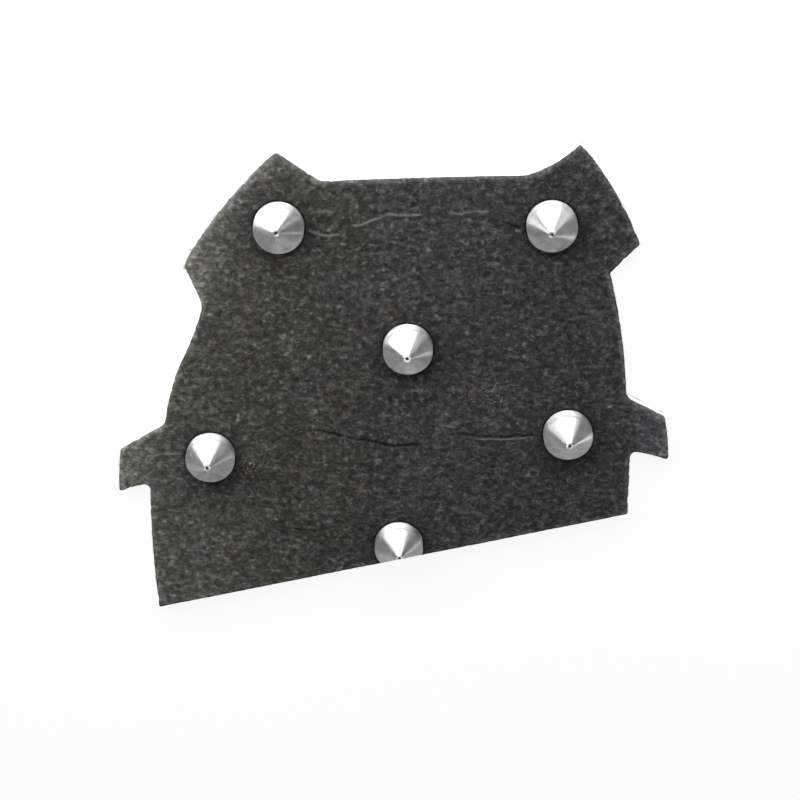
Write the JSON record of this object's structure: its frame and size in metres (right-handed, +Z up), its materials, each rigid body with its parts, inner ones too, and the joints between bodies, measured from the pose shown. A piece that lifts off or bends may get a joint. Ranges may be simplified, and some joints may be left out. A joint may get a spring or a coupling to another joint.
{
  "type": "snowboard stomp pad",
  "caption": "Studded stick-on grip pad: a dark felted rubber sheet on white foam with turned metal cone studs, screwed on from behind, and a split peel-off liner.",
  "frame": {"origin": "middle of the cut outline's box, on the underside of the release liner", "axes": "+X across the pad, +Y towards the two horns, +Z up from the board through the studs"},
  "size_m": [0.1432, 0.13, 0.0119],
  "materials": {
    "grip_felt": "matte",
    "foam": "matte",
    "adhesive": "satin",
    "liner_paper": "satin",
    "stud_metal": "satin",
    "screw_steel": "satin"
  },
  "bodies": {
    "pad": {"grip_sheet": "grip_felt", "foam_base": "foam", "adhesive_film": "adhesive", "stud_top_left": "stud_metal", "stud_top_right": "stud_metal", "stud_centre": "stud_metal", "stud_lower_left": "stud_metal", "stud_lower_right": "stud_metal", "stud_edge": "stud_metal", "screw_top_left": "screw_steel", "screw_top_right": "screw_steel", "screw_centre": "screw_steel", "screw_lower_left": "screw_steel", "screw_lower_right": "screw_steel", "screw_edge": "screw_steel", "washer_top_left": "screw_steel", "washer_top_right": "screw_steel", "washer_centre": "screw_steel", "washer_lower_left": "screw_steel", "washer_lower_right": "screw_steel", "washer_edge": "screw_steel"},
    "liner_left": {"liner_left": "liner_paper"},
    "liner_right": {"liner_right": "liner_paper"}
  },
  "joints": [
    {"name": "liner_left_pull", "type": "slide", "parent": "pad", "child": "liner_left", "axis": [-1, 0, 0], "range_m": [0, 0.08]},
    {"name": "liner_right_pull", "type": "slide", "parent": "pad", "child": "liner_right", "axis": [1, 0, 0], "range_m": [0, 0.08]}
  ]
}
